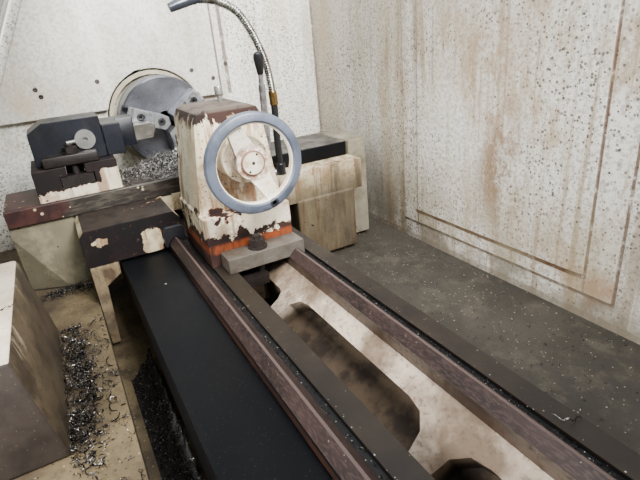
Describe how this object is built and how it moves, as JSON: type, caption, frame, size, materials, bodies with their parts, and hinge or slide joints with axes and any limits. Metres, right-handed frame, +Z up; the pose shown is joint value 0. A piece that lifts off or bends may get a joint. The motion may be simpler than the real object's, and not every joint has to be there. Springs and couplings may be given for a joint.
{
  "type": "cnc turning lathe",
  "caption": "Flat-bed turning lathe with computer control: chuck, saddle with quick-change tool post, manual tailstock and sliding-door guard.",
  "frame": {"origin": "on the floor at the centre of the machine's footprint", "axes": "+X along the bed from the headstock to the tailstock, +Y from the operator to the rear wall, +Z up"},
  "size_m": [2.5, 1.46, 1.72],
  "materials": {
    "machine_cast": "ground ways, chip-worn brown steel",
    "cream_paint": "worn cream enamel",
    "white_paint": "speckled off-white enamel",
    "black_sheet": "satin black",
    "brown_primer": "worn casting with bare primer and chipped cream",
    "steel": "machined",
    "tool_black": "blackened",
    "chrome": "flexible metal hose",
    "motor_grey": "satin grey",
    "rubber": "matte",
    "black_plastic": "matte black",
    "stop_red": "gloss",
    "window": "clear"
  },
  "bodies": {
    "machine": {"bed": "machine_cast", "base_left": "cream_paint", "base_right": "cream_paint", "coolant_tank": "white_paint", "front_tray": "cream_paint", "rear_floor": "cream_paint", "rear_wall": "white_paint", "access_panel": "white_paint", "chuck_partition": "white_paint", "partition_cover": "white_paint", "headstock": "cream_paint", "headstock_cover": "white_paint", "right_end_cover": "white_paint", "front_panel": "white_paint", "front_cover_box": "cream_paint", "door_rail": "steel", "z_screw_cover": "black_sheet", "z_bearing_left": "steel", "z_bearing_right": "steel", "z_motor": "motor_grey", "spindle_motor": "motor_grey", "electrical_cabinet": "white_paint", "control_box": "white_paint", "drive_belt": "rubber"},
    "z_screw": {"z_screw": "steel"},
    "cabinet_door": {"cabinet_door": "white_paint"},
    "emergency_stop": {"emergency_stop": "stop_red"},
    "door_left": {"door_left": "white_paint", "window_left": "window"},
    "door_right": {"door_right": "white_paint", "window_right": "window"},
    "spindle": {"spindle": "steel", "chuck_body": "steel", "spindle_pulley": "motor_grey"},
    "jaw_1": {"jaw_1": "steel"},
    "jaw_2": {"jaw_2": "steel"},
    "jaw_3": {"jaw_3": "steel"},
    "motor_pulley": {"motor_pulley": "motor_grey"},
    "saddle": {"saddle": "brown_primer", "saddle_guard": "cream_paint", "coolant_pipe": "chrome", "x_motor_cover": "cream_paint"},
    "cross_slide": {"cross_slide": "brown_primer", "slide_cover": "black_sheet", "tool_post_base": "brown_primer", "clamp_plate": "steel", "tool_clamp_bolt": "brown_primer", "tool_block": "tool_black", "tool_holder": "tool_black", "tool_bar": "steel"},
    "x_screw": {"x_screw": "steel"},
    "cam_knob": {"cam_knob": "steel"},
    "tailstock": {"tailstock_body": "brown_primer", "clamp_slab": "steel", "clamp_bolt": "brown_primer"},
    "quill": {"quill": "steel"},
    "handwheel": {"handwheel": "motor_grey", "tailstock_screw": "steel"},
    "clamp_lever": {"clamp_lever": "black_plastic"},
    "quill_lock": {"quill_lock": "steel"}
  },
  "joints": [
    {"name": "z_screw_turn", "type": "hinge", "parent": "machine", "child": "z_screw", "pos_m": [-0.5, -0.255, 0.825], "axis": [1, 0, 0], "range_deg": [-2, 8402]},
    {"name": "saddle_slide", "type": "slide", "parent": "machine", "child": "saddle", "axis": [1, 0, 0], "range_m": [0, 0.14]},
    {"name": "x_screw_turn", "type": "hinge", "parent": "saddle", "child": "x_screw", "pos_m": [-0.1905, -0.07, 0.956], "axis": [0, 1, 0], "range_deg": [-6482, 290]},
    {"name": "cross_slide_travel", "type": "slide", "parent": "saddle", "child": "cross_slide", "axis": [0, 1, 0], "range_m": [-0.09, 0.004]},
    {"name": "cam_knob_turn", "type": "hinge", "parent": "cross_slide", "child": "cam_knob", "pos_m": [-0.14, -0.305, 1.131], "axis": [-1, 0, 0], "range_deg": [0, 180]},
    {"name": "spindle_turn", "type": "hinge", "parent": "machine", "child": "spindle", "pos_m": [-0.36, -0.07, 1.108], "axis": [1, 0, 0], "continuous": true},
    {"name": "motor_pulley_turn", "type": "hinge", "parent": "machine", "child": "motor_pulley", "pos_m": [-1.14, 0.28, 0.52], "axis": [1, 0, 0], "continuous": true},
    {"name": "jaw_1_slide", "type": "slide", "parent": "spindle", "child": "jaw_1", "axis": [0, -0.9317, 0.3633], "range_m": [0, 0.01]},
    {"name": "jaw_2_slide", "type": "slide", "parent": "spindle", "child": "jaw_2", "axis": [0, 0.7804, 0.6252], "range_m": [-0.0001, 0.0101]},
    {"name": "jaw_3_slide", "type": "slide", "parent": "spindle", "child": "jaw_3", "axis": [0, 0.1513, -0.9885], "range_m": [-0.0001, 0.0101]},
    {"name": "tailstock_slide", "type": "slide", "parent": "machine", "child": "tailstock", "axis": [1, 0, 0], "range_m": [-0.005, 0.6]},
    {"name": "handwheel_turn", "type": "hinge", "parent": "tailstock", "child": "handwheel", "pos_m": [0.264, -0.07, 1.108], "axis": [-1, 0, 0], "range_deg": [0, 7200]},
    {"name": "quill_slide", "type": "slide", "parent": "tailstock", "child": "quill", "axis": [-1, 0, 0], "range_m": [-0.0001, 0.1001]},
    {"name": "clamp_lever_turn", "type": "hinge", "parent": "tailstock", "child": "clamp_lever", "pos_m": [0.1, 0.042, 1.025], "axis": [0, 1, 0], "range_deg": [-20, 60]},
    {"name": "quill_lock_turn", "type": "hinge", "parent": "tailstock", "child": "quill_lock", "pos_m": [0.093, -0.047, 1.196], "axis": [0, 0, 1], "range_deg": [-180, 180]},
    {"name": "door_left_slide", "type": "slide", "parent": "machine", "child": "door_left", "axis": [1, 0, 0], "range_m": [0, 0.8]},
    {"name": "door_right_slide", "type": "slide", "parent": "machine", "child": "door_right", "axis": [1, 0, 0], "range_m": [0, 0.79]},
    {"name": "cabinet_door_swing", "type": "hinge", "parent": "machine", "child": "cabinet_door", "pos_m": [-1.15, 0.718, 1], "axis": [0, 0, 1], "range_deg": [0, 110]},
    {"name": "emergency_stop_press", "type": "slide", "parent": "machine", "child": "emergency_stop", "axis": [0, 0.8803, -0.4743], "range_m": [0, 0.006]}
  ],
  "couplings": [
    {"joint": "z_screw_turn", "follows": "saddle_slide", "rad_per_m": 1047.2},
    {"joint": "x_screw_turn", "follows": "cross_slide_travel", "rad_per_m": 1256.6},
    {"joint": "motor_pulley_turn", "follows": "spindle_turn", "ratio": 1.5},
    {"joint": "jaw_2_slide", "follows": "jaw_1_slide", "ratio": 1},
    {"joint": "jaw_3_slide", "follows": "jaw_1_slide", "ratio": 1},
    {"joint": "quill_slide", "follows": "handwheel_turn", "m_per_rad": 0.00079577}
  ]
}
